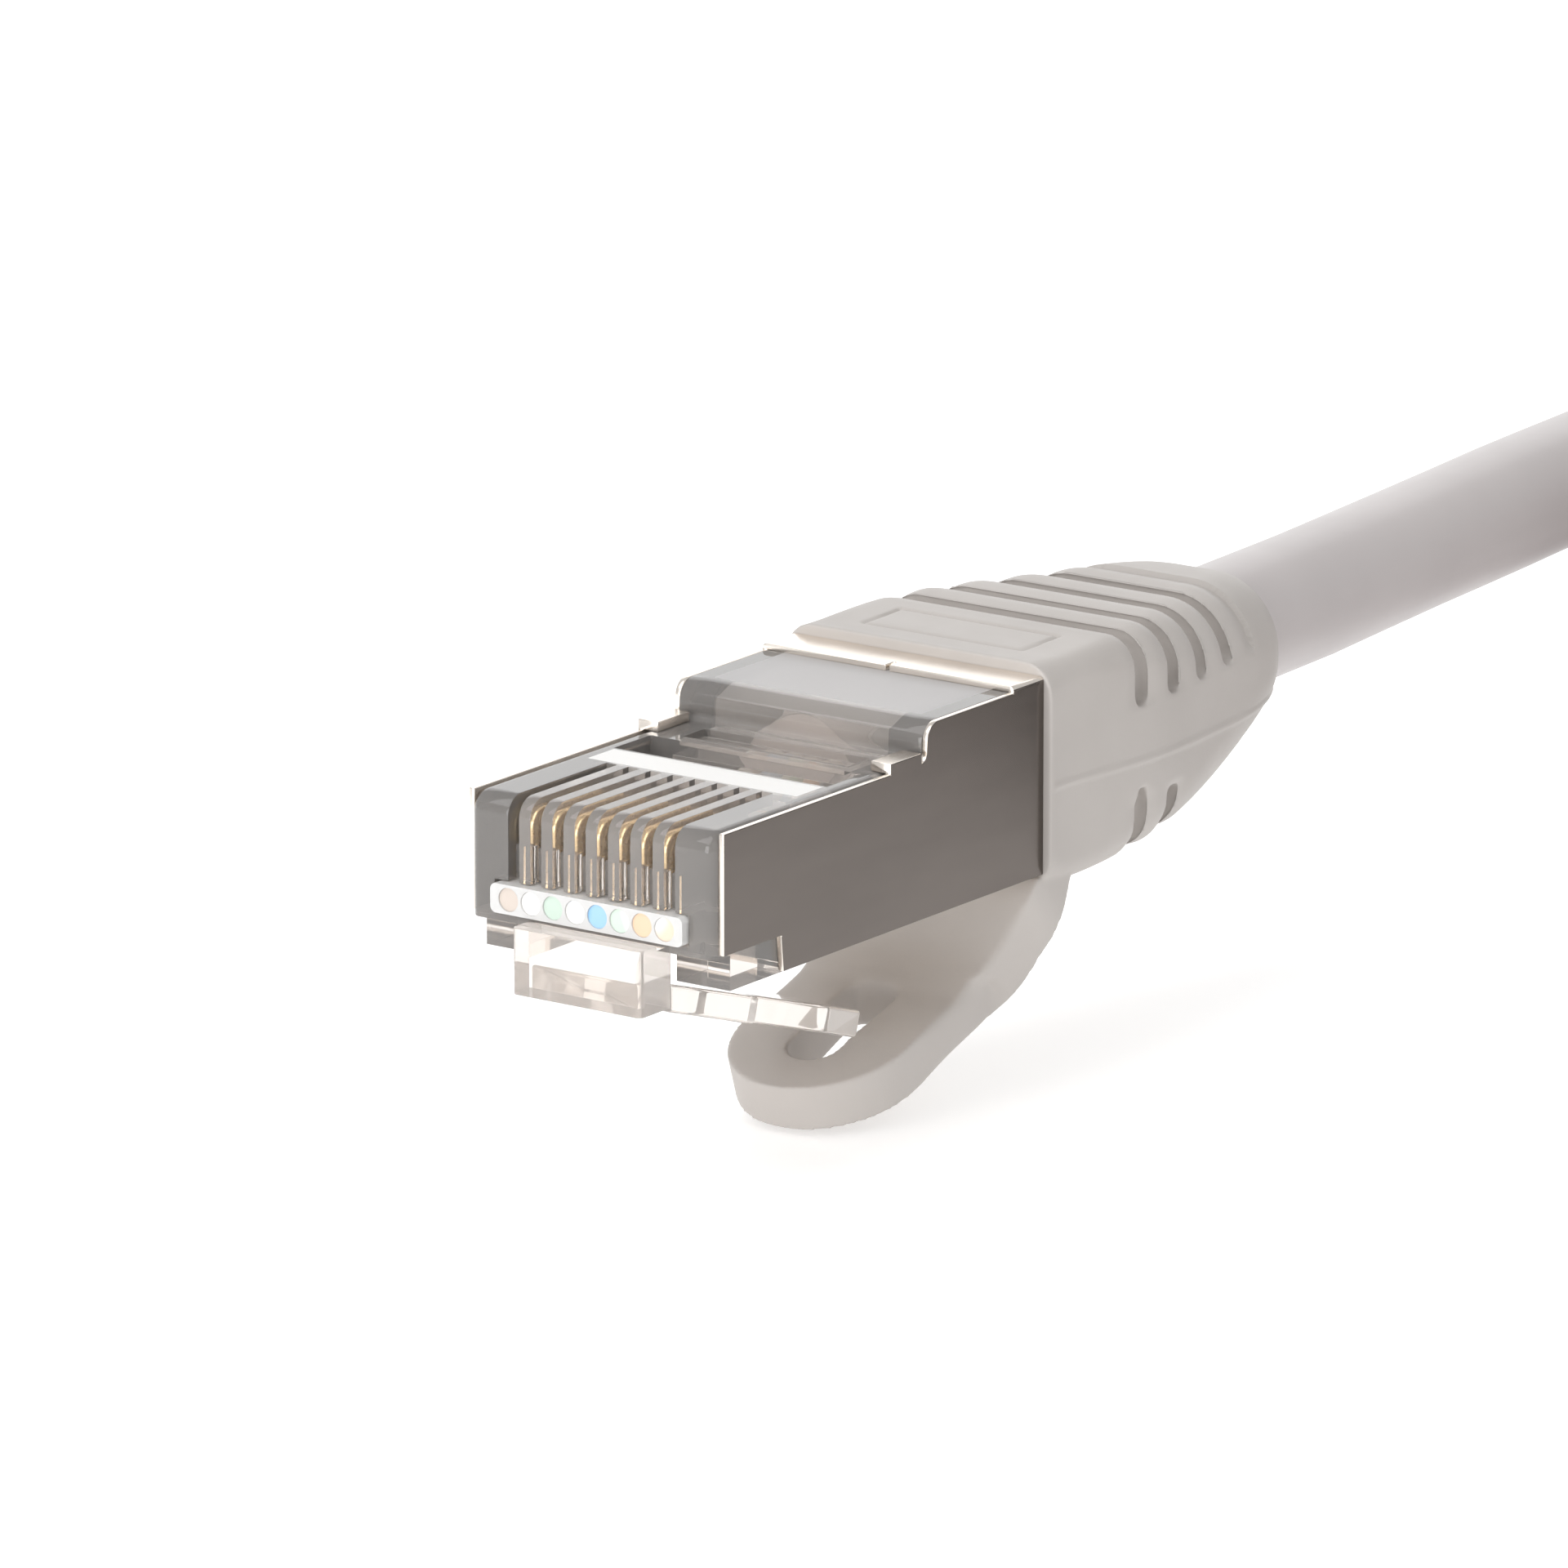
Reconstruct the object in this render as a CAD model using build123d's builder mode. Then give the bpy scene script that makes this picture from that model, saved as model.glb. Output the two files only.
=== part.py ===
"""Shielded ethernet patch cable: two 8-contact modular plugs on one round lead, coiled for storage.

Plug frame, in which every piece of a plug is drawn once: x across the plug, y from the nose back along
the cable, z up from the underside of the feet, contacts on top and latch below.
Row frame: +Z up from the surface that the cable lies on, near plug's nose towards -Y.
"""
import os
from math import cos, hypot, pi, radians, sin, tan

from build123d import *

# ---- driving dimensions, millimetres ----
pitch = 1.02                  # spacing of the eight contacts
plug_width = 11.68            # over the shield
sheet = 0.25                  # shield sheet thickness
nose_top = 6.15               # top of the nose above the feet
rear_top = 7.6                # top of the raised rear half of the housing
nose_floor = 1.35             # underside of the nose between the feet
step_y = 13.2                 # where the top steps up
body_end = 20.7               # rear face of the housing
notch_y = 3.9                 # length of the cut-out in the shield above each foot
cable_d = 5.2                 # jacket diameter
cable_z = 4.35                # height of the cable's axis in the plug
jacket_start = 13.6           # front end of the jacket inside the housing
wire_d = 0.9                  # insulated conductor
wire_z = 2.32
boot_front = 20.9
boot_end = 40.2
boot_top = 8.3
latch_proud = 0.98            # how far the latch root stands in front of the nose
latch_slope = radians(17.5)
guard_slope = radians(18.6)
guard_thick = 1.9
guard_half = 3.75
guard_reach = 8.6             # knuckle axis to the tip
coil_mean = 30.0              # mean radius of the stored coil
turn_pitch = 5.4              # spacing of neighbouring turns
tie_thick = 0.8
lead_lean = 0.1               # sideways lean of the near lead, per unit of run

# ---- worked-out sizes ----
house_half = plug_width / 2 - sheet
contact_x = [(3.5 - k) * pitch for k in range(8)]   # contact 1 is on the +x side
knuckle = (19.7, -5.11)       # y and z of the guard's hinge axis
knuckle_r = guard_thick / 2
feet_height = guard_reach * sin(guard_slope) + knuckle_r * cos(guard_slope) - knuckle[1]
nose_y = -(boot_end - latch_proud) / 2
near_place = Location((0, nose_y, feet_height))


def box(x0, x1, y0, y1, z0, z1, mode=Mode.ADD):
    """A block between two corners, added to or cut from the open part."""
    with Locations(((x0 + x1) / 2, (y0 + y1) / 2, (z0 + z1) / 2)):
        Box(x1 - x0, y1 - y0, z1 - z0, mode=mode)


# ---- housing: clear moulding with fins, contact slots, feet and the latch root ----
slot_width = 0.5
slot_end = 6.15
slot_floor = 4.25
blade_thick = 0.35
bar_half = 4.4
bar_low = 1.75
bar_high = 2.88
bar_proud = 0.35              # how far the load bar stands in front of the nose

with BuildPart() as housing:
    with BuildSketch(Plane.YZ):
        with BuildLine():
            Polyline((0, nose_floor), (0, nose_top), (step_y, nose_top), (step_y, rear_top),
                     (body_end, rear_top), (body_end, 0.35), (notch_y + 0.3, 0.35),
                     (notch_y + 0.3, nose_floor), close=True)
        make_face()
    extrude(amount=house_half, both=True)
    fillet(housing.edges().filter_by(Axis.X).group_by(Axis.Y)[0].sort_by(Axis.Z)[-1], 0.8)
    fillet(housing.edges().filter_by(Axis.Z).group_by(Axis.Y)[0], 0.45)
    at_step = housing.edges().filter_by(Axis.X).filter_by_position(Axis.Y, step_y - 0.01, step_y + 0.01)
    fillet(at_step.sort_by(Axis.Z)[-1], 0.9)
    at_step = housing.edges().filter_by(Axis.X).filter_by_position(Axis.Y, step_y - 0.01, step_y + 0.01)
    fillet(at_step.sort_by(Axis.Z)[0], 0.35)
    for side in (-1, 1):
        inner, outer = sorted((side * 3.16, side * house_half))
        box(inner, outer, 1.0, notch_y + 0.4, 0, nose_floor + 0.3)
    with BuildSketch(Plane.XY.offset(-1.05)):
        with Locations((0, (0.9 - latch_proud) / 2)):
            Rectangle(5.94, 0.9 + latch_proud)
        fillet(vertices().group_by(Axis.Y)[0], 0.25)
    extrude(amount=nose_floor + 0.15 + 1.05)
    # slots over the contacts, with a narrow slit under each for its blade
    for x in contact_x:
        box(x - slot_width / 2, x + slot_width / 2, -1, slot_end, slot_floor, nose_top + 1, Mode.SUBTRACT)
        box(x - 0.19, x + 0.19, 0.85, 4.7, bar_low, slot_floor + 1, Mode.SUBTRACT)
        box(x - slot_width / 2, x + slot_width / 2, -1, 0.5, bar_high, slot_floor + 0.1, Mode.SUBTRACT)
    # opening for the load bar, then the space for the wires and the jacket
    box(-bar_half - 0.05, bar_half + 0.05, -1, 6.4, bar_low - 0.05, bar_high + 0.05, Mode.SUBTRACT)
    box(-4.3, 4.3, 6.3, 10.8, 1.7, 4.85, Mode.SUBTRACT)
    box(-4.0, 4.0, 10.7, 13.5, 1.6, 5.5, Mode.SUBTRACT)
    box(-4.0, 4.0, 13.4, body_end + 1, 1.4, 7.1, Mode.SUBTRACT)
    # trough and slot across the top of the nose
    box(-4.9, 4.9, 8.1, 10.4, 5.2, nose_top + 1, Mode.SUBTRACT)
    box(-3.8, 3.8, 11.0, 12.4, 5.85, nose_top + 1, Mode.SUBTRACT)

# ---- latch lever: wide behind its root, then a narrower finger tail ----
latch_pivot = (0.95, -0.15)
latch_depth = 1.05
latch_wide = 5.9
latch_wide_run = 5.9
latch_run = 14.4
latch_tail = 4.0

with BuildPart() as latch:
    lever = Plane(origin=(0, *latch_pivot), x_dir=(1, 0, 0), z_dir=(0, sin(latch_slope), cos(latch_slope)))
    with BuildSketch(lever):
        with Locations((0, latch_wide_run / 2)):
            Rectangle(latch_wide, latch_wide_run)
        with Locations((0, latch_run / 2)):
            Rectangle(latch_tail, latch_run)
        fillet(vertices().group_by(Axis.Y)[-1], 0.5)
    extrude(amount=-latch_depth)
    # the front face is trimmed square to the root, behind the hinge line
    box(-4, 4, -1, latch_pivot[0], -4, 1, Mode.SUBTRACT)

# ---- shield: folded sheet with a bottom plate, rear strap, top tabs and a cable crimp ----
strap_front = 18.9
crimp_r = 2.75
crimp_end = 25.0

with BuildPart() as shield:
    for side in (-1, 1):
        with BuildSketch(Plane.YZ.offset(side * house_half)):
            with BuildLine():
                Polyline((0.3, 1.5), (notch_y, 1.5), (notch_y + 0.15, 0.1), (boot_front, 0.1),
                         (boot_front, rear_top), (step_y + 0.1, rear_top), (step_y, nose_top),
                         (0.3, nose_top), close=True)
            make_face()
            fillet(vertices().filter_by_position(Axis.X, step_y - 0.05, step_y + 0.15).sort_by(Axis.Y)[-1], 0.7)
            fillet(vertices().filter_by_position(Axis.X, step_y - 0.05, step_y + 0.05).sort_by(Axis.Y)[0], 0.35)
        extrude(amount=side * sheet)
    box(-plug_width / 2, plug_width / 2, notch_y + 0.4, boot_front, 0.1, 0.35)
    box(-plug_width / 2, plug_width / 2, strap_front, boot_front, rear_top, rear_top + sheet)
    box(-0.08, 0.08, strap_front - 1, strap_front + 0.5, rear_top - 1, rear_top + 1, Mode.SUBTRACT)
    for side in (-1, 1):
        low, high = sorted((side * 4.9, side * plug_width / 2))
        box(low, high, 10.9, 12.9, nose_top, nose_top + 1.6 * sheet)
    strap_edges = shield.edges().filter_by(Axis.Y).group_by(Axis.Z)[-1]
    fillet(strap_edges.filter_by_position(Axis.X, -6, -5.8) + strap_edges.filter_by_position(Axis.X, 5.8, 6), 0.2)
    # web and split ring that grip the jacket behind the housing
    box(-1.8, 1.8, boot_front - 0.1, boot_front + sheet, 0.1, cable_z - crimp_r - 0.05)
    with BuildSketch(Plane.XZ.offset(-boot_front)):
        with Locations((0, cable_z)):
            Circle(crimp_r + sheet)
            Circle(crimp_r, mode=Mode.SUBTRACT)
        with Locations((0, cable_z + crimp_r)):
            Rectangle(0.8, 2, mode=Mode.SUBTRACT)
    extrude(amount=-(crimp_end - boot_front))

# ---- load bar: clear block that holds the wire ends in line ----
with BuildPart() as load_bar:
    box(-bar_half, bar_half, -bar_proud, 6.2, bar_low, bar_high)
    fillet(load_bar.edges().filter_by(Axis.Y), 0.25)
    with BuildSketch(Plane.XZ.offset(1)):
        with Locations(*[(x, wire_z) for x in contact_x]):
            Circle(wire_d / 2 + 0.01)
    extrude(amount=-9, mode=Mode.SUBTRACT)
    for x in contact_x:
        box(x - 0.19, x + 0.19, 0.85, 4.7, wire_z + 0.2, bar_high + 1, Mode.SUBTRACT)

# ---- foil wrap: the cable's foil folded back over the jacket, under the housing's roof ----
with BuildPart() as foil_wrap:
    with BuildSketch(Plane.XZ.offset(-15.0)):
        with Locations((0, cable_z)):
            Circle(cable_d / 2 + 0.12)
            Circle(cable_d / 2, mode=Mode.SUBTRACT)
    extrude(amount=-5.5)

# ---- contacts: thin blades with a rounded shoulder and two piercing prongs ----
contacts = []
for x in contact_x:
    with BuildPart() as contact:
        with BuildSketch(Plane.YZ.offset(x - blade_thick / 2)):
            with BuildLine():
                Polyline((0.9, 2.45), (1.3, 3.1), (3.1, 3.1), (3.5, 2.45), (3.9, 3.1), (4.6, 3.4),
                         (4.6, 5.62), (0.62, 5.62), (0.62, 4.3), (0.9, 4.3), close=True)
            make_face()
            fillet(vertices().group_by(Axis.X)[0].sort_by(Axis.Y)[-1], 0.75)
        extrude(amount=blade_thick)
    contacts.append(contact.part)

# ---- wires: level under the contacts, then gathered into the jacket in two rows of four ----
wires = []
for k, x in enumerate(contact_x):
    upper = k % 2 == 0
    gather_x = (1.5 - k // 2) * (wire_d + 0.02)
    gather_z = cable_z + (0.47 if upper else -0.47)
    route = [
        (x, -0.28, wire_z),
        (x, 7.0, wire_z),
        (x + 0.35 * (gather_x - x), 9.4, 3.8 if upper else 2.6),
        (gather_x, 12.3, gather_z),
        (gather_x, jacket_start, gather_z),
    ]
    with BuildPart() as wire:
        with BuildLine() as wire_path:
            FilletPolyline(*route, radius=1.3)
        with BuildSketch(Plane(origin=wire_path.line @ 0, z_dir=wire_path.line % 0)):
            Circle(wire_d / 2)
        sweep(path=wire_path.line)
    wires.append(wire.part)

# ---- guard: tongue below the latch, hinged at its knuckle ----
with BuildPart() as guard:
    slope_plane = Plane(origin=(0, *knuckle), x_dir=(1, 0, 0), z_dir=(0, -sin(guard_slope), cos(guard_slope)))
    with BuildSketch(slope_plane):
        with Locations((0, -(guard_reach - guard_half) / 2)):
            Rectangle(2 * guard_half, guard_reach - guard_half)
        with Locations((0, guard_half - guard_reach)):
            Circle(guard_half)
    extrude(amount=knuckle_r, both=True)
    with BuildSketch(Plane.YZ):
        with Locations(knuckle):
            Circle(knuckle_r)
    extrude(amount=guard_half, both=True)
    with BuildSketch(slope_plane):
        with Locations((0, -3.7)):
            SlotOverall(5.7, 2.2, rotation=90)
    extrude(amount=knuckle_r + 0.5, both=True, mode=Mode.SUBTRACT)

# ---- apron: the boot's front leg, which carries the guard's knuckle in a hollow seat ----
seat_r = knuckle_r + 0.06
leg_half = plug_width / 2


def on_seat(angle):
    """Point on the knuckle's seat, as y and z, at an angle in degrees from +y."""
    return (knuckle[0] + seat_r * cos(radians(angle)), knuckle[1] + seat_r * sin(radians(angle)))


with BuildPart() as apron:
    with BuildSketch(Plane.YZ):
        with BuildLine():
            Spline((19.15, -3.95), (19.9, -2.9), (20.1, -1.4), (20.6, -0.02))
            Polyline((20.6, -0.02), (boot_front, -0.02), (boot_front, 0.5), (22.9, 0.5))
            Spline((22.9, 0.5), (22.55, -1.1), (22.1, -2.4), (21.9, -3.6), (21.6, -4.75), (21.0, -5.5))
            Line((21.0, -5.5), on_seat(-48))
            ThreePointArc(on_seat(-48), on_seat(25), on_seat(98))
            Line(on_seat(98), (19.15, -3.95))
        make_face()
    extrude(amount=plug_width, both=True)
    # seen along the leg, it widens from the guard's width to the boot's
    with BuildSketch(Plane(origin=(0, 0, 0), x_dir=(1, 0, 0), z_dir=(0, -1, 1))):
        with BuildLine():
            Polyline((0, 7), (guard_half, 7), (guard_half, 9.9))
            Spline((guard_half, 9.9), (4.08, 11.2), (4.7, 12.3), (5.3, 13.2), (leg_half, 14.8), tangents=((0, 1), (0, 1)))
            Polyline((leg_half, 14.8), (leg_half, 19), (0, 19), (0, 7))
        make_face()
        mirror(about=Plane.YZ)
    extrude(amount=40, both=True, mode=Mode.INTERSECT)

# ---- boot: rounded sleeve that narrows to the cable, with flexing grooves ----
# rows of y, half width, bottom, top, corner radius
boot_rows = [
    (boot_front, 6.2, -0.5, boot_top, 1.3),
    (27.0, 6.2, -0.5, boot_top, 1.5),
    (31.0, 5.85, -0.3, 8.15, 2.2),
    (35.0, 5.2, 0.3, 7.95, 2.8),
    (38.6, 4.4, 1.15, 7.7, 3.1),
    (boot_end, 3.6, 1.4, 7.3, 2.8),
]
groove_rows = [27.1, 29.5, 31.9, 34.3]
groove_width = 0.6
groove_depth = 0.6


def boot_row(y):
    """Half width, bottom, top and corner radius of the boot at y, between the listed rows."""
    for front, rear in zip(boot_rows, boot_rows[1:]):
        if y <= rear[0]:
            share = (y - front[0]) / (rear[0] - front[0])
            return [a + share * (b - a) for a, b in zip(front[1:], rear[1:])]


with BuildPart() as boot:
    for y, half, low, high, corner in boot_rows:
        with BuildSketch(Plane.XZ.offset(-y)):
            with Locations((0, (low + high) / 2)):
                RectangleRounded(2 * half, high - low, corner)
    loft()
    add(apron.part)
    # grooves over the top of every row, and short ones under the first two
    for k, y in enumerate(groove_rows):
        half, low, high, corner = boot_row(y)
        with BuildSketch(Plane.XZ.offset(-y + groove_width / 2)):
            with Locations((0, 10)):
                Rectangle(16, 2 * (10 - 5.5))
            if k < 2:
                with Locations((0, -2)):
                    Rectangle(16, 2 * (2 + 2.2 - 0.5 * k))
            with Locations((0, (low + high) / 2)):
                RectangleRounded(2 * (half - groove_depth), high - low - 2 * groove_depth, corner - 0.3,
                                 mode=Mode.SUBTRACT)
        extrude(amount=-groove_width, mode=Mode.SUBTRACT)
    # engraved frame on top, left blank
    with BuildSketch(Plane.XY.offset(boot_top - 0.18)):
        with Locations((0, 23.75)):
            Rectangle(7.6, 2.7)
            Rectangle(7.1, 2.2, mode=Mode.SUBTRACT)
    extrude(amount=1, mode=Mode.SUBTRACT)
    # pocket for the crimp, and the cable's bore
    with BuildSketch(Plane.XZ.offset(-boot_front)):
        with Locations((0, cable_z)):
            Circle(crimp_r + sheet + 0.2)
        with Locations((0, 1.0)):
            Rectangle(4.0, 2.2)
    extrude(amount=-(crimp_end + 0.3 - boot_front), mode=Mode.SUBTRACT)
    with BuildSketch(Plane.XZ.offset(-boot_front)):
        with Locations((0, cable_z)):
            Circle(cable_d / 2)
    extrude(amount=-25, mode=Mode.SUBTRACT)

# ---- lead and coil, row frame ----
lead_z = feet_height + cable_z
turn_rise = (turn_pitch ** 2 - (turn_pitch / 2) ** 2) ** 0.5
low_turn_z = tie_thick + cable_d / 2
high_turn_z = low_turn_z + 2 * turn_rise
outer_turn = coil_mean + turn_pitch / 2
entry_y = nose_y + 90.0
entry_x = -lead_lean * 50.0
lean = hypot(1, lead_lean)
coil_x = entry_x + outer_turn / lean
coil_y = entry_y + outer_turn * lead_lean / lean
far_x = coil_x + outer_turn
far_nose_y = coil_y - 66.0
far_rest = boot_top + 0.02    # the far plug lies on its contact side, a hair above the surface
far_place = Location((far_x, far_nose_y, far_rest), (0, 180, 0))
far_z = far_rest - cable_z

near_route = [
    (0, nose_y + jacket_start, lead_z),
    (0, nose_y + boot_end, lead_z),
    (-2.75, nose_y + boot_end + 27.4, lead_z),
    (-4.25, nose_y + boot_end + 41.4, lead_z - 0.3),
]
far_route = [
    (far_x, coil_y - 11.0, low_turn_z),
    (far_x + 0.15, coil_y - 22.0, far_z - 0.1),
    (far_x, far_nose_y + 31.0, far_z),
    (far_x, far_nose_y + jacket_start, far_z),
]


def corner_radii(route):
    """Largest tangent arc for each corner: 0.45 of its shorter run over the tangent of half its turn."""
    radii = []
    for before, corner, after in zip(route, route[1:], route[2:]):
        run_in = Vector(*corner) - Vector(*before)
        run_out = Vector(*after) - Vector(*corner)
        half_turn = radians(run_in.get_angle(run_out)) / 2
        radii.append(0.45 * min(run_in.length, run_out.length) / tan(half_turn))
    return radii


leads = {}
for name, route in (("near_lead", near_route), ("far_lead", far_route)):
    radii = corner_radii(route)
    with BuildPart() as lead:
        with BuildLine() as lead_path:
            FilletPolyline(*route, radius=radii)
        with BuildSketch(Plane(origin=lead_path.line @ 0, z_dir=lead_path.line % 0)):
            Circle(cable_d / 2)
        sweep(path=lead_path.line)
    leads[name] = lead.part
    length = sum(edge.length for edge in lead_path.edges())
    print(name, "radii", [round(r) for r in radii], "length", round(length, 2),
          "volume over section times length", round(lead.part.volume / (pi * cable_d ** 2 / 4 * length), 4))

with BuildPart() as coil:
    with BuildSketch(Plane(origin=(coil_x, coil_y, 0), x_dir=(1, 0, 0), z_dir=(0, -1, 0))):
        with Locations((coil_mean, (low_turn_z + high_turn_z) / 2)):
            RectangleRounded(turn_pitch + cable_d, high_turn_z - low_turn_z + cable_d, 2.2)
    revolve(axis=Axis((coil_x, coil_y, 0), (0, 0, 1)))

tie_width = 6.0
tie_inner = coil_mean - (turn_pitch + cable_d) / 2 - 0.25
tie_outer = coil_mean + (turn_pitch + cable_d) / 2 + 0.05
tie_height = high_turn_z + cable_d / 2 + tie_thick

with BuildPart() as coil_ties:
    for side in (-1, 1):
        ring_y0, ring_y1 = sorted((coil_y + side * (tie_inner - tie_thick), coil_y + side * (tie_outer + tie_thick)))
        hole_y0, hole_y1 = sorted((coil_y + side * tie_inner, coil_y + side * tie_outer))
        box(coil_x - tie_width / 2, coil_x + tie_width / 2, ring_y0, ring_y1, 0, tie_height)
        box(coil_x - tie_width, coil_x + tie_width, hole_y0, hole_y1, tie_thick, tie_height - tie_thick,
            Mode.SUBTRACT)

# ---- names and files ----
os.makedirs("parts", exist_ok=True)
plug_pieces = {
    "housing": housing.part,
    "latch": latch.part,
    "shield": shield.part,
    "load_bar": load_bar.part,
    "foil_wrap": foil_wrap.part,
    "boot": boot.part,
    "guard": guard.part,
}
for k in range(8):
    plug_pieces[f"contact_{k + 1}"] = contacts[k]
    plug_pieces[f"wire_{k + 1}"] = wires[k]

nodes = {"coil": coil.part, "coil_ties": coil_ties.part, **leads}
for prefix, place in (("near", near_place), ("far", far_place)):
    for name, piece in plug_pieces.items():
        nodes[f"{prefix}_{name}"] = piece.moved(place)

for name, piece in nodes.items():
    piece.label = name
    export_step(piece, f"parts/{name}.step")
print("nodes", len(nodes), "coil centre", round(coil_x, 3), round(coil_y, 3), "far plug", round(far_x, 3),
      round(far_nose_y, 3), "feet height", round(feet_height, 3))
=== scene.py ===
"""Shielded ethernet patch cable: looks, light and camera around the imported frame."""
from math import cos, hypot, pi, radians, sin

import bmesh
import bpy
from mathutils import Matrix, Vector
from mathutils import noise as mathutils_noise


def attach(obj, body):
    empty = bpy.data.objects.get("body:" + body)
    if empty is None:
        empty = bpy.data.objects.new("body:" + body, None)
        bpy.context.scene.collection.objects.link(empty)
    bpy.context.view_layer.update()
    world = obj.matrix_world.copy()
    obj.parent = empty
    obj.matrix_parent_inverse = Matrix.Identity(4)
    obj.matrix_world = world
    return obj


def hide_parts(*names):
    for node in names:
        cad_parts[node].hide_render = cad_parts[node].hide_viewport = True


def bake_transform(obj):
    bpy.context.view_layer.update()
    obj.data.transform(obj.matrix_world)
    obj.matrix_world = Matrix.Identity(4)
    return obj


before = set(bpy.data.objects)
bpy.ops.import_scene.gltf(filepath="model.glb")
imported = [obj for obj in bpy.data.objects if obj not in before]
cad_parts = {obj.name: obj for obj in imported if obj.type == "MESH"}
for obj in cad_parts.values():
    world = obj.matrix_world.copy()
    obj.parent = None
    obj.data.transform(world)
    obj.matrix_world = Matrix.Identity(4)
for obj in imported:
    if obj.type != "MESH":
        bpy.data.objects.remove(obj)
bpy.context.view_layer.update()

mm = 0.001

# ---- driving dimensions of the part, in millimetres ----
latch_proud = 0.98
jacket_start = 13.6
boot_front = 20.9
boot_end = 40.2
boot_top = 8.3
cable_d = 5.2
cable_z = 4.35
guard_slope = radians(18.6)
guard_reach = 8.6
guard_half = 3.75
knuckle = (19.7, -5.11)
knuckle_r = 0.95
coil_mean = 30.0
turn_pitch = 5.4
tie_thick = 0.8
lead_lean = 0.1
near_run = 50.0               # run over which the near lead leans away
coil_back = 90.0              # from the near nose back to the coil's near side
far_back = 66.0               # from the coil's centre to the far nose

# ---- worked-out sizes ----
feet_height = guard_reach * sin(guard_slope) + knuckle_r * cos(guard_slope) - knuckle[1]
nose_y = -(boot_end - latch_proud) / 2
lead_z = feet_height + cable_z
turn_rise = (turn_pitch ** 2 - (turn_pitch / 2) ** 2) ** 0.5
low_turn_z = tie_thick + cable_d / 2
mid_turn_z = low_turn_z + turn_rise
high_turn_z = low_turn_z + 2 * turn_rise
outer_turn = coil_mean + turn_pitch / 2
inner_turn = coil_mean - turn_pitch / 2
lean = hypot(1, lead_lean)
coil_x = -lead_lean * near_run + outer_turn / lean
coil_y = nose_y + coil_back + outer_turn * lead_lean / lean
far_x = coil_x + outer_turn
far_nose_y = coil_y - far_back
far_rest = boot_top + 0.02
far_z = far_rest - cable_z

# each plug's own frame, x across, y back from the nose, z up from the feet, placed in the row frame
places = {
    "near": Matrix.Translation((0, nose_y * mm, feet_height * mm)),
    "far": Matrix.Translation((far_x * mm, far_nose_y * mm, far_rest * mm)) @ Matrix.Rotation(pi, 4, "Y"),
}
scene = bpy.context.scene


# ---- small helpers ----
def add_object(name, data):
    """A new object of that name, linked to the scene."""
    made = bpy.data.objects.new(name, data)
    scene.collection.objects.link(made)
    return made


def settled_mesh(piece):
    """The mesh that a curve or a piece with modifiers shows."""
    graph = bpy.context.evaluated_depsgraph_get()
    return bpy.data.meshes.new_from_object(piece.evaluated_get(graph))


def settle(piece):
    """Applies a piece's modifiers to its mesh."""
    settled = settled_mesh(piece)
    piece.modifiers.clear()
    piece.data = settled
    return piece


def welded(nodes):
    """The CAD meshes of some nodes, as one bmesh with its seams closed and its flat faces whole."""
    form = bmesh.new()
    for node in nodes:
        form.from_mesh(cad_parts[node].data)
    bmesh.ops.remove_doubles(form, verts=form.verts, dist=2e-7)
    bmesh.ops.dissolve_limit(form, angle_limit=radians(0.5), verts=form.verts, edges=form.edges)
    return form


def in_plug(side, point):
    """A point of the row frame, in the plug's own frame, in millimetres."""
    return places[side].inverted() @ point / mm


# ---- camera, at the photographed angle ----
view_azimuth = radians(35.667)
view_elevation = radians(14.822)
view_distance = 539.37
view_right = 1.282            # offset of the camera across the view
view_up = 1.055
view_target = Vector((0, nose_y + 10, feet_height + 4))
right = Vector((cos(view_azimuth), sin(view_azimuth), 0))
back = Vector((sin(view_azimuth) * cos(view_elevation), -cos(view_azimuth) * cos(view_elevation),
               sin(view_elevation)))
up = back.cross(right)

camera = add_object("camera", bpy.data.cameras.new("camera"))
camera.data.sensor_width = 36
camera.data.lens = 330.84
camera.data.clip_start = 0.01
camera.data.clip_end = 20
camera.location = (view_target + view_right * right + view_up * up + view_distance * back) * mm
camera.rotation_mode = "QUATERNION"
camera.rotation_quaternion = (-back).to_track_quat("-Z", "Y")
scene.camera = camera

# ---- cord: near lead, coil of four and a half turns, far lead ----
near_route = [
    (0, nose_y + jacket_start, lead_z),
    (0, nose_y + boot_end, lead_z),
    (-2.75, nose_y + boot_end + 27.4, lead_z),
    (-4.25, nose_y + boot_end + 41.4, lead_z - 0.3),
]
far_route = [
    (far_x, coil_y - 11.0, low_turn_z),
    (far_x + 0.15, coil_y - 22.0, far_z - 0.1),
    (far_x, far_nose_y + 31.0, far_z),
    (far_x, far_nose_y + jacket_start, far_z),
]
# radius and height of each turn's place in the bundle, from the first turn to the last
turn_places = [
    (outer_turn, high_turn_z),
    (inner_turn, high_turn_z),
    (coil_mean, mid_turn_z),
    (inner_turn, low_turn_z),
    (outer_turn, low_turn_z),
]
change_run = 0.15             # share of a turn over which the cord changes its place
change_lift = 0.55            # how far it rises or dips over its neighbour there
points_per_turn = 24
whole_turns = 4.5
lean_angle = 5.7              # of the near lead where it meets the coil, in degrees


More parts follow.
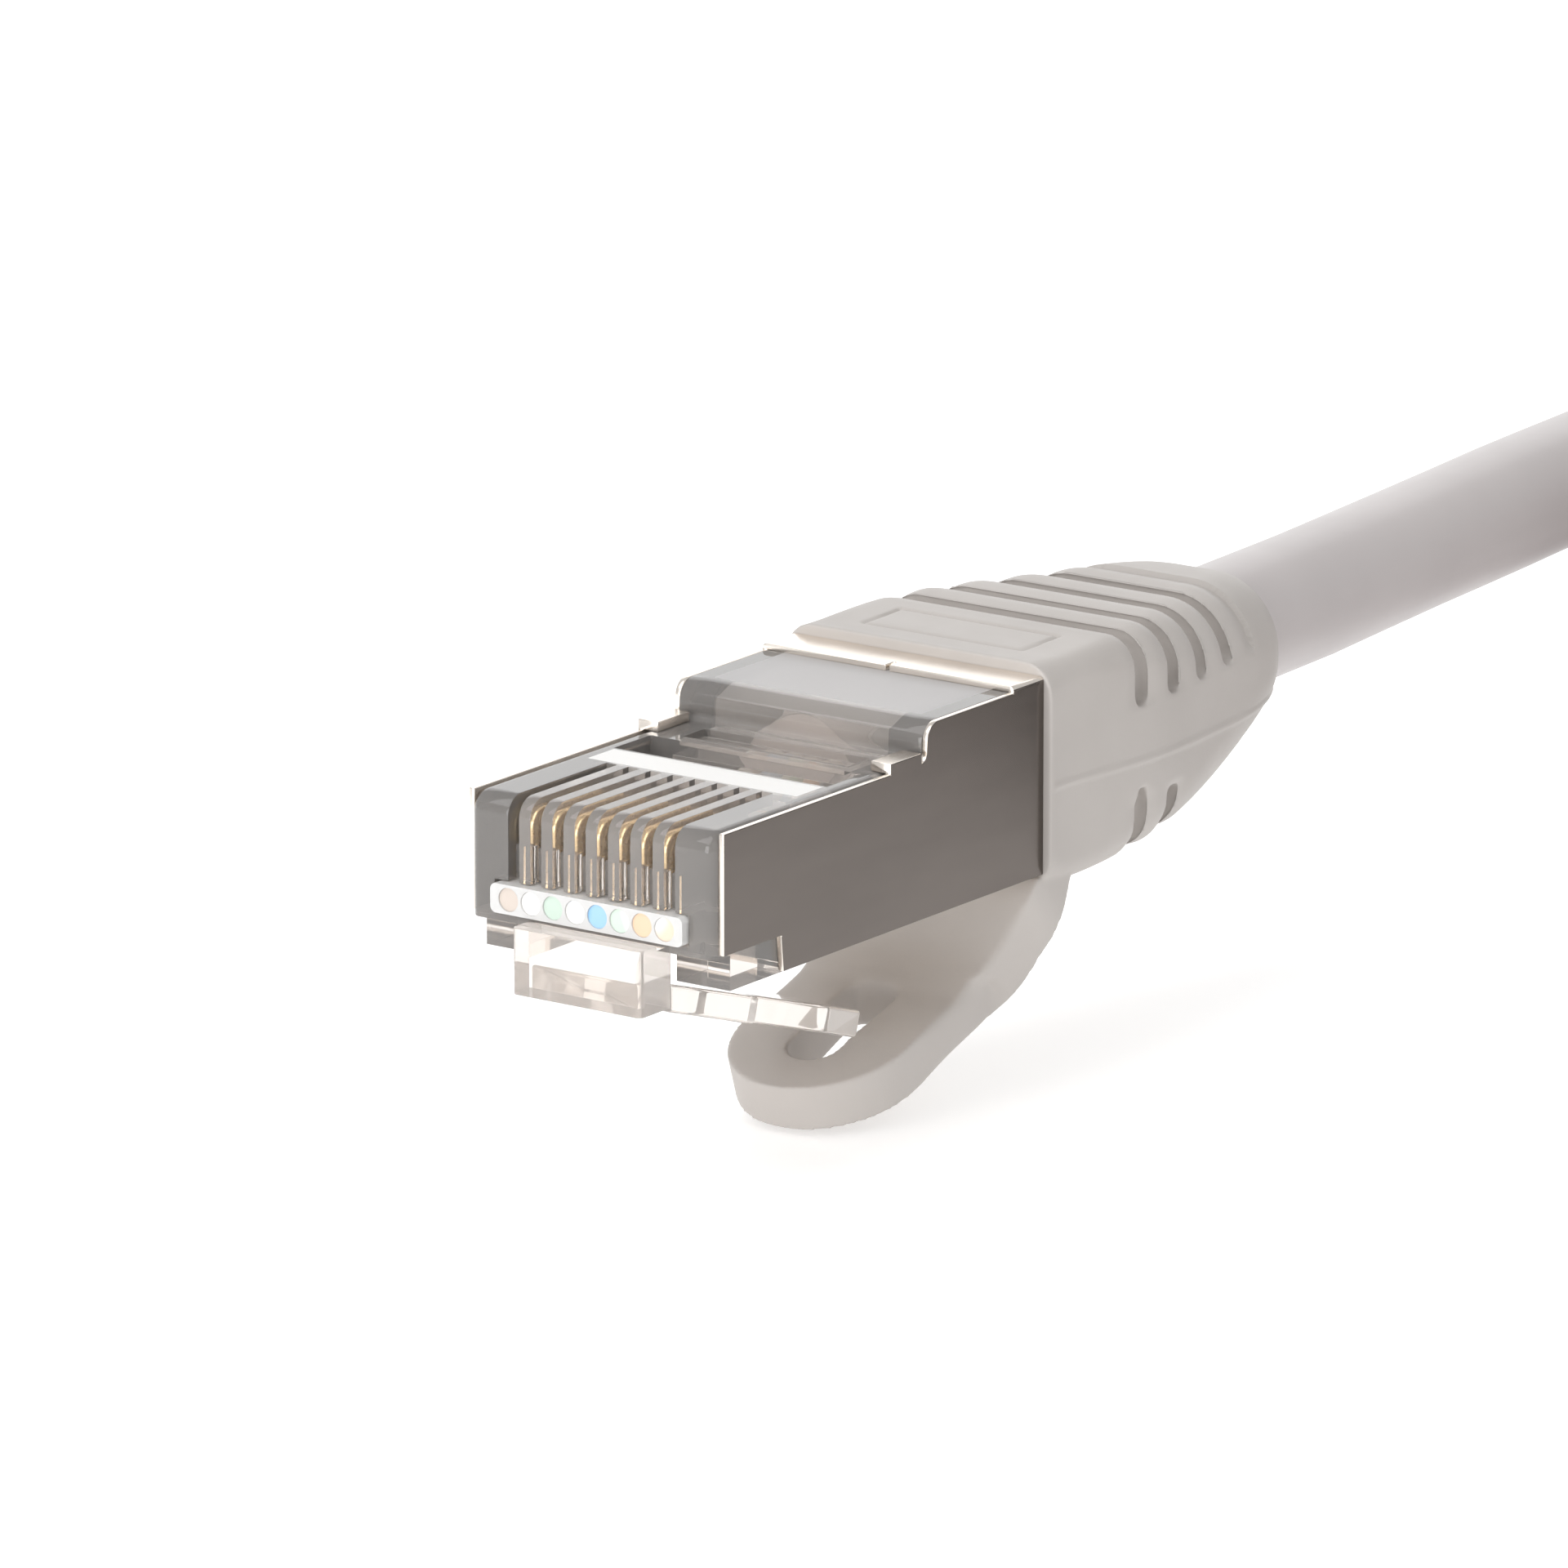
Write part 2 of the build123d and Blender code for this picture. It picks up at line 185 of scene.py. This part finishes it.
def turn_place(turns):
    """Radius and height after a number of turns. Each change ends a little earlier in its turn."""
    for index in range(1, len(turn_places)):
        change_start = index - change_run * index
        if turns <= change_start:
            return turn_places[index - 1]
        if turns < change_start + change_run:
            share = (turns - change_start) / change_run
            eased = share * share * (3 - 2 * share)
            before, after = turn_places[index - 1], turn_places[index]
            level = before[1] == after[1]
            lift = change_lift * sin(pi * share) * (1 if index == 1 else -1) if level else 0
            return (before[0] + eased * (after[0] - before[0]),
                    before[1] + eased * (after[1] - before[1]) + lift)
    return turn_places[-1]


def coil_route():
    """Control points of the coil, clockwise seen from above, from the near lead to the far lead."""
    start_angle = pi + radians(lean_angle)
    total_turns = whole_turns + lean_angle / 360
    steps = round(total_turns * points_per_turn)
    points = []
    for step in range(steps + 1):
        turns = total_turns * step / steps
        radius, height = turn_place(turns)
        angle = start_angle - 2 * pi * turns
        spread = radius / cos(pi / points_per_turn)
        points.append((coil_x + spread * cos(angle), coil_y + spread * sin(angle), height))
    return points


def nurbs_curve(name, route):
    """A smooth open curve with the route's points, in millimetres, as its control points."""
    curve = bpy.data.curves.new(name, "CURVE")
    curve.dimensions = "3D"
    spline = curve.splines.new("NURBS")
    spline.points.add(len(route) - 1)
    for target, point in zip(spline.points, route):
        target.co = (point[0] * mm, point[1] * mm, point[2] * mm, 1)
    spline.order_u = 3
    spline.use_endpoint_u = True
    spline.resolution_u = 6
    return curve


route_line = add_object("route_line", nurbs_curve("route_line", near_route + coil_route() + far_route))
cable_path = [vertex.co.copy() for vertex in settled_mesh(route_line).vertices]
route_line.data.bevel_depth = cable_d / 2 * mm
route_line.data.bevel_resolution = 10
route_line.data.use_fill_caps = True
cable = add_object("cable", settled_mesh(route_line))
bpy.data.objects.remove(route_line)
jacket_wave = 0.045           # how far the twisted pairs show through the jacket
jacket_wave_length = 7
for vertex in cable.data.vertices:
    vertex.co += vertex.normal * jacket_wave * mm * mathutils_noise.noise(vertex.co / (jacket_wave_length * mm))
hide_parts("near_lead", "coil", "far_lead")
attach(cable, "root")


# ---- materials ----
def principled(name, colour, roughness, **settings):
    """A material of one colour and roughness, with any other settings of its shader."""
    made = bpy.data.materials.new(name)
    made.use_nodes = True
    shader = made.node_tree.nodes["Principled BSDF"]
    shader.inputs["Base Color"].default_value = (*colour, 1)
    shader.inputs["Roughness"].default_value = roughness
    for socket, value in settings.items():
        shader.inputs[socket.replace("_", " ")].default_value = value
    return made


def noise(made, scale, detail=4.0, stretch=(1, 1, 1)):
    """A noise texture in the object's own coordinates. Scale counts features per metre."""
    nodes, links = made.node_tree.nodes, made.node_tree.links
    place = nodes.new("ShaderNodeTexCoord")
    mapping = nodes.new("ShaderNodeMapping")
    mapping.inputs["Scale"].default_value = stretch
    texture = nodes.new("ShaderNodeTexNoise")
    texture.inputs["Scale"].default_value = scale
    texture.inputs["Detail"].default_value = detail
    links.new(place.outputs["Object"], mapping.inputs["Vector"])
    links.new(mapping.outputs["Vector"], texture.inputs["Vector"])
    return texture.outputs["Fac"]


def vary_colour(made, source, dark, light, low=0.3, high=0.7):
    """Lets the base colour drift between two colours with a texture."""
    ramp = made.node_tree.nodes.new("ShaderNodeValToRGB")
    ramp.color_ramp.elements[0].position = low
    ramp.color_ramp.elements[0].color = (*dark, 1)
    ramp.color_ramp.elements[1].position = high
    ramp.color_ramp.elements[1].color = (*light, 1)
    shader = made.node_tree.nodes["Principled BSDF"]
    made.node_tree.links.new(source, ramp.inputs["Fac"])
    made.node_tree.links.new(ramp.outputs["Color"], shader.inputs["Base Color"])


def vary_roughness(made, source, low, high):
    """Lets the roughness drift between two values with a texture."""
    span = made.node_tree.nodes.new("ShaderNodeMapRange")
    span.inputs["To Min"].default_value = low
    span.inputs["To Max"].default_value = high
    shader = made.node_tree.nodes["Principled BSDF"]
    made.node_tree.links.new(source, span.inputs["Value"])
    made.node_tree.links.new(span.outputs["Result"], shader.inputs["Roughness"])


def bump(made, source, strength, distance):
    """Adds a fine relief to the surface, with its depth in millimetres."""
    relief = made.node_tree.nodes.new("ShaderNodeBump")
    relief.inputs["Strength"].default_value = strength
    relief.inputs["Distance"].default_value = distance * mm
    shader = made.node_tree.nodes["Principled BSDF"]
    made.node_tree.links.new(source, relief.inputs["Height"])
    made.node_tree.links.new(relief.outputs["Normal"], shader.inputs["Normal"])


def boot_material():
    """Matt grey moulding with a faint grain."""
    made = principled("boot_rubber", (0.49, 0.458, 0.43), 0.5, IOR=1.5)
    vary_colour(made, noise(made, 160, 3), (0.475, 0.443, 0.418), (0.515, 0.482, 0.456))
    vary_roughness(made, noise(made, 900, 3), 0.42, 0.56)
    bump(made, noise(made, 5200, 3), 0.25, 0.02)
    return made


def jacket_material():
    """Cable jacket, a little smoother and paler than the boot."""
    made = principled("cable_jacket", (0.52, 0.485, 0.48), 0.4, IOR=1.5)
    vary_colour(made, noise(made, 90, 3), (0.50, 0.466, 0.462), (0.555, 0.518, 0.512))
    vary_roughness(made, noise(made, 500, 3), 0.34, 0.46)
    bump(made, noise(made, 2600, 2), 0.15, 0.02)
    return made


def shield_material(name, shade):
    """Plated sheet with a faint grain along the plug."""
    made = principled(name, shade, 0.24, Metallic=1.0)
    darker = [value * 0.93 for value in shade]
    lighter = [value * 1.08 for value in shade]
    vary_colour(made, noise(made, 260, 4, (1, 0.25, 1)), darker, lighter)
    vary_roughness(made, noise(made, 1400, 5, (1, 0.12, 1)), 0.19, 0.3)
    bump(made, noise(made, 9000, 4, (1, 0.08, 1)), 0.08, 0.006)
    return made


clear_ior = 1.45


def clear_material(name, colour, roughness, clarity=0.83):
    """Clear moulded plastic. Clarity is the share of light that passes."""
    made = principled(name, colour, roughness, IOR=clear_ior, Transmission_Weight=clarity)
    vary_roughness(made, noise(made, 700, 3), roughness, roughness + 0.04)
    bump(made, noise(made, 520, 3), 0.07, 0.04)
    return made


def gold_material():
    """Gold plate on the contacts."""
    made = principled("gold", (1.0, 0.78, 0.46), 0.26, Metallic=1.0)
    vary_roughness(made, noise(made, 3000, 4), 0.2, 0.34)
    return made


def foil_material():
    """Crumpled foil screen."""
    made = principled("foil", (0.72, 0.72, 0.72), 0.3, Metallic=1.0)
    bump(made, noise(made, 900, 5), 0.6, 0.08)
    return made


def tie_material():
    """Black hook-and-loop tape."""
    made = principled("tie", (0.03, 0.03, 0.033), 0.85, Sheen_Weight=0.4)
    vary_colour(made, noise(made, 4200, 4), (0.018, 0.018, 0.02), (0.06, 0.06, 0.065))
    bump(made, noise(made, 4200, 4), 0.8, 0.15)
    return made


def wire_material(name, body, stripe):
    """Insulation of one colour, or pale with bands of its pair's colour."""
    made = principled(name, body, 0.35, IOR=1.5)
    vary_colour(made, noise(made, 420, 1), stripe, body, 0.42, 0.5)
    return made


white = (0.84, 0.83, 0.81)
orange = (0.86, 0.60, 0.42)
green = (0.58, 0.70, 0.61)
blue = (0.22, 0.48, 0.80)
brown = (0.64, 0.56, 0.50)
wire_looks = {
    1: ("wire_white_orange", white, (0.86, 0.66, 0.52)),
    2: ("wire_orange", orange, (0.9, 0.62, 0.42)),
    3: ("wire_white_green", white, (0.64, 0.76, 0.66)),
    4: ("wire_blue", blue, (0.36, 0.60, 0.88)),
    5: ("wire_white_blue", white, (0.58, 0.70, 0.88)),
    6: ("wire_green", green, (0.56, 0.72, 0.60)),
    7: ("wire_white_brown", white, (0.72, 0.64, 0.58)),
    8: ("wire_brown", brown, (0.64, 0.54, 0.47)),
}

boot_look = boot_material()
jacket_look = jacket_material()
shield_look = shield_material("nickel_plate", (0.88, 0.815, 0.745))
# the outer faces of the side plates get a darker copy of the same plating, a painted dark reflection of the
# surroundings; the rest keeps the plain plating
shield_painted_dark_reflection_look = shield_material("nickel_plate_painted_dark_reflection", (0.16, 0.141, 0.128))
clear_look = clear_material("clear_plastic", (0.985, 0.93, 0.885), 0.02)
frosted_look = clear_material("clear_plastic_frosted", (0.66, 0.64, 0.635), 0.42, 0.35)
comb_look = clear_material("clear_plastic_comb", (0.97, 0.965, 0.955), 0.1, 0.35)
white_look = principled("clear_plastic_textured", (0.86, 0.85, 0.83), 0.45, IOR=1.5)
bump(white_look, noise(white_look, 3000, 3), 0.2, 0.02)
gold_look = gold_material()
foil_look = foil_material()
tie_look = tie_material()
wire_materials = {k: wire_material(*look) for k, look in wire_looks.items()}

cable.data.materials.clear()
cable.data.materials.append(jacket_look)


def dress(node, material):
    """Gives a CAD node that stays as it is its finished material."""
    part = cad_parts[node]
    part.data.materials.clear()
    part.data.materials.append(material)
    return part


def finish_piece(piece, body, slot, nodes, *materials):
    """Hands a finished piece to its body and the CAD nodes it stands for. Its slot is not used."""
    marks = [face.material_index for face in piece.data.polygons]
    piece.data.materials.clear()
    for material in materials:
        piece.data.materials.append(material)
    piece.data.polygons.foreach_set("material_index", marks)
    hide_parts(*nodes)
    if body:
        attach(piece, body)
    return piece


def eased(name, node, width, segments=2, cut=None):
    """A piece with a CAD node's shape and rounded edges, as moulded or folded."""
    form = welded([node])
    if cut:
        cut(form)
    mesh = bpy.data.meshes.new(name)
    form.to_mesh(mesh)
    form.free()
    piece = add_object(name, mesh)
    rounding = piece.modifiers.new("rounding", "BEVEL")
    rounding.width = width * mm
    rounding.segments = segments
    rounding.limit_method = "ANGLE"
    rounding.angle_limit = radians(35)
    rounding.use_clamp_overlap = True
    rounding.miter_outer = "MITER_ARC"
    settle(piece)
    piece.data.shade_smooth()
    weighting = piece.modifiers.new("weighting", "WEIGHTED_NORMAL")
    weighting.keep_sharp = True
    return piece


# ---- boot and guard: one soft moulding with its root melted smooth ----
groove_rows = [27.1, 29.5, 31.9, 34.3]
groove_pitch = 2.4
rib_crown = 0.18              # how far a rib's edge lies below its middle
rib_core = 3.1                # the ribs lie outside this radius about the cable
parting_half = 0.16           # half width of the parting line
parting_height = 0.06
melt_outer = 4.6              # the root is melted smooth inside this distance of the knuckle,
melt_inner = 2.2              # and fully inside this one
# y and z outline of the web that joins the tongue to the leg through the knuckle
root_section = [
    (18.4, -4.5), (19.3, -3.9), (20.6, -3.9), (20.9, -5.2), (20.5, -5.55), (19.4, -6.05), (18.4, -6.38),
]
root_inset = 0.05             # how far the web stays in from the tongue's sides


def moulded(name, side, voxel):
    """The boot, its leg and the guard as one moulding, with soft edges."""
    form = welded([f"{side}_boot", f"{side}_guard"])
    ends = []
    for x in (-guard_half + root_inset, guard_half - root_inset):
        ends.append([form.verts.new(places[side] @ (Vector((x, y, z)) * mm)) for y, z in root_section])
    form.faces.new(ends[0])
    form.faces.new(reversed(ends[1]))
    for k in range(len(root_section)):
        after = (k + 1) % len(root_section)
        form.faces.new((ends[0][after], ends[0][k], ends[1][k], ends[1][after]))
    mesh = bpy.data.meshes.new(name)
    form.to_mesh(mesh)
    form.free()
    piece = add_object(name, mesh)
    skin = piece.modifiers.new("skin", "REMESH")
    skin.mode = "VOXEL"
    skin.voxel_size = voxel * mm
    soften = piece.modifiers.new("soften", "SMOOTH")
    soften.factor = 0.5
    soften.iterations = 3
    settle(piece)
    relief(piece, side)
    melt = piece.modifiers.new("melt", "SMOOTH")
    melt.factor = 0.5
    melt.iterations = 50
    melt.vertex_group = "root"
    settle(piece)
    piece.data.shade_smooth()
    return piece


def smooth_step(value, low, high):
    """0 on low's side, 1 on high's side, and a smooth change between."""
    share = min(max((value - low) / (high - low), 0), 1)
    return share * share * (3 - 2 * share)


def relief(piece, side):
    """Crowns the ribs, raises the parting line, and marks where the tongue's root is melted smooth."""
    to_plug = places[side].inverted()
    root = piece.vertex_groups.new(name="root")
    moves = []
    for vertex in piece.data.vertices:
        point = to_plug @ vertex.co / mm
        reach = hypot(point.x, point.z - cable_z)
        rise = 0
        if reach > rib_core:
            along = (point.y - groove_rows[0]) / groove_pitch
            if -0.5 < along < len(groove_rows):
                upper = smooth_step(point.z, 5.3, 5.9)
                lower = smooth_step(-point.z, -2.1, -1.5) if along < 1.5 else 0
                rise -= rib_crown * (upper + lower) * (cos(2 * pi * along) + 1) / 2
            off_line = abs(point.z - (3.5 - 0.03 * (point.y - boot_front))) / parting_half
            if off_line < 1 and point.y > boot_front + 0.2:
                rise += parting_height * (1 - off_line * off_line)
        moves.append(vertex.normal * rise * mm)
        from_root = hypot(point.y - knuckle[0], point.z - knuckle[1] - 0.2)
        near_root = smooth_step(from_root, melt_outer, melt_inner)
        if near_root > 0:
            root.add([vertex.index], near_root, "REPLACE")
    for vertex, move in zip(piece.data.vertices, moves):
        vertex.co += move


frost_half = 4.8              # half width of the frosted faces
strip_front, strip_back = 6.3, 7.95
roof_front = 14.3


def frosted_faces(side):
    """Cuts and marks the frosted faces: a strip behind the slots, the trough and the rear roof."""
    def cut(form):
        bounds = [((0, y, 0), (0, 1, 0)) for y in (strip_front, strip_back, roof_front)]
        bounds += [((x, 0, 0), (1, 0, 0)) for x in (-frost_half, frost_half)]
        for point, normal in bounds:
            everything = form.verts[:] + form.edges[:] + form.faces[:]
            bmesh.ops.bisect_plane(form, geom=everything, plane_co=places[side] @ (Vector(point) * mm),
                                   plane_no=normal, dist=1e-8)
        for face in form.faces:
            centre = in_plug(side, face.calc_center_median())
            upward = abs(face.normal.z) > 0.9 and abs(centre.x) < frost_half
            if upward and strip_front < centre.y < strip_back and centre.z > 6.0:
                face.material_index = 1
            elif upward and 8.1 < centre.y < 10.5 and 5.0 < centre.z < 5.5:
                face.material_index = 2
            elif upward and roof_front < centre.y and centre.z > 7.5:
                face.material_index = 2
    return cut


def side_plates_painted_dark(side):
    """Marks the outer faces of the shield's side plates, which get a darker copy of the plating: a painted dark
    reflection of the surroundings.
    """
    def cut(form):
        for face in form.faces:
            centre = in_plug(side, face.calc_center_median())
            if abs(face.normal.x) > 0.9 and abs(centre.x) > 5.8:
                face.material_index = 1
    return cut


# ---- ties: hook-and-loop tape, wound round the coil with its end pressed on itself ----
tie_half = 3.0
tie_corner = 3.0
tie_across = turn_pitch / 2 + cable_d / 2 + 0.15
tie_tall = (high_turn_z - low_turn_z) / 2 + cable_d / 2
tie_points = 96
tie_overlap = 22              # points of the second layer
tie_layer = 0.96              # share of the tape's thickness that is solid
tie_gap = 0.04


def tie_outline(step):
    """A point on the tape's inner line and its outward direction, round a rounded rectangle."""
    straight_x, straight_z = tie_across - tie_corner, tie_tall - tie_corner
    quarter = pi / 2 * tie_corner
    spans = [2 * straight_z, quarter, 2 * straight_x, quarter] * 2
    left = sum(spans) * (step / tie_points % 1)
    corners = [(straight_x, straight_z), (-straight_x, straight_z), (-straight_x, -straight_z),
               (straight_x, -straight_z)]
    for index, span in enumerate(spans):
        if left <= span or index == len(spans) - 1:
            break
        left -= span
    turn = index // 2
    if index % 2:
        angle = pi / 2 * turn + left / tie_corner
        centre = Vector(corners[turn])
        outward = Vector((cos(angle), sin(angle)))
        return centre + tie_corner * outward, outward
    angle = pi / 2 * turn
    outward = Vector((cos(angle), sin(angle)))
    along = Vector((-sin(angle), cos(angle)))
    start = Vector(corners[turn - 1]) + tie_corner * outward
    return start + left * along, outward


def tape_ties():
    """Both ties as one piece: a strip of four corners swept round, its end lying on its start."""
    form = bmesh.new()
    for way in (-1, 1):
        rings = []
        for step in range(tie_points + tie_overlap + 1):
            spot, outward = tie_outline(step)
            lift = (tie_thick + tie_gap) * smooth_step(step, tie_points - 5, tie_points + 1)
            ring = []
            for depth, across in ((0, -1), (0, 1), (1, 1), (1, -1)):
                point = spot + (lift + depth * tie_thick * tie_layer) * outward
                ring.append(form.verts.new((
                    (coil_x + across * tie_half) * mm,
                    (coil_y + way * (coil_mean + point.x)) * mm,
                    (mid_turn_z + point.y) * mm)))
            rings.append(ring)
        for before, after in zip(rings, rings[1:]):
            for k in range(4):
                form.faces.new((before[k], before[(k + 1) % 4], after[(k + 1) % 4], after[k]))
        form.faces.new(rings[0])
        form.faces.new(reversed(rings[-1]))
    bmesh.ops.recalc_face_normals(form, faces=form.faces)
    mesh = bpy.data.meshes.new("tape_ties")
    form.to_mesh(mesh)
    form.free()
    piece = add_object("tape_ties", mesh)
    edge = piece.modifiers.new("edge", "BEVEL")
    edge.width = 0.15 * mm
    edge.segments = 2
    edge.limit_method = "ANGLE"
    edge.angle_limit = radians(50)
    settle(piece)
    piece.data.shade_smooth()
    weighting = piece.modifiers.new("weighting", "WEIGHTED_NORMAL")
    weighting.keep_sharp = True
    return piece


def plug(side, voxel):
    """All the pieces of one plug. Returns what shows, for the cord that carries it."""
    made = []
    shell = eased(f"{side}_housing_shell", f"{side}_housing", 0.13, 3, frosted_faces(side))
    made.append(finish_piece(shell, "root", "clear_plastic", [f"{side}_housing"],
                             clear_look, white_look, frosted_look))
    lever = eased(f"{side}_latch_lever", f"{side}_latch", 0.14, 3)
    made.append(finish_piece(lever, f"{side}_latch", "clear_plastic", [f"{side}_latch"], clear_look))
    cover = eased(f"{side}_shield_cover", f"{side}_shield", 0.05, 2, side_plates_painted_dark(side))
    made.append(finish_piece(cover, "root", "nickel_plate", [f"{side}_shield"], shield_look, shield_painted_dark_reflection_look))
    comb = eased(f"{side}_wire_comb", f"{side}_load_bar", 0.08)
    made.append(finish_piece(comb, "root", "clear_plastic", [f"{side}_load_bar"], comb_look))
    sleeve = moulded(f"{side}_boot_and_guard", side, voxel)
    finish_piece(sleeve, None, "boot_rubber", [f"{side}_boot", f"{side}_guard"], boot_look)
    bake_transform(sleeve)
    made.append(sleeve)
    made.append(dress(f"{side}_foil_wrap", foil_look))
    for k in range(1, 9):
        blade = eased(f"{side}_blade_{k}", f"{side}_contact_{k}", 0.05)
        made.append(finish_piece(blade, "root", "gold", [f"{side}_contact_{k}"], gold_look))
        made.append(dress(f"{side}_wire_{k}", wire_materials[k]))
    return made


plug("near", 0.1)
far_pieces = plug("far", 0.15)

bands = tape_ties()
finish_piece(bands, "root", "tie", ["coil_ties"], tie_look)


# ---- floor, light and background ----
floor_mesh = bpy.data.meshes.new("floor")
half_floor = 6.0
floor_mesh.from_pydata(
    [(-half_floor, -half_floor, 0), (half_floor, -half_floor, 0), (half_floor, half_floor, 0),
     (-half_floor, half_floor, 0)], [], [(0, 1, 2, 3)])
floor = add_object("floor", floor_mesh)
floor.location.z = -0.2 * mm
floor_look = principled("floor", (0.92, 0.92, 0.92), 0.8, Emission_Color=(1, 1, 1, 1), Emission_Strength=0.35)
floor.data.materials.append(floor_look)


def area_light(name, azimuth, elevation, distance, size, watts):
    """A soft square light round the plug. Azimuth is read as the camera's is."""
    a, e = radians(azimuth), radians(elevation)
    direction = Vector((sin(a) * cos(e), -cos(a) * cos(e), sin(e)))
    lamp = bpy.data.lights.new(name, "AREA")
    lamp.size = size
    lamp.energy = watts
    made = add_object(name, lamp)
    made.location = view_target * mm + direction * distance
    made.rotation_mode = "QUATERNION"
    made.rotation_quaternion = direction.to_track_quat("Z", "Y")
    made.visible_camera = False
    return made


area_light("key", -20, 58, 0.9, 0.7, 3.4)
area_light("fill", 75, 30, 1.2, 0.9, 1.5)
area_light("back", 215, 20, 1.2, 0.9, 2.6)
area_light("front", -5, 10, 1.0, 0.6, 4.5)

world = bpy.data.worlds.new("studio")
scene.world = world
world.use_nodes = True
world.node_tree.nodes["Background"].inputs["Color"].default_value = (1.0, 1.0, 1.0, 1)
world.node_tree.nodes["Background"].inputs["Strength"].default_value = 0.6
scene.view_settings.view_transform = "Standard"
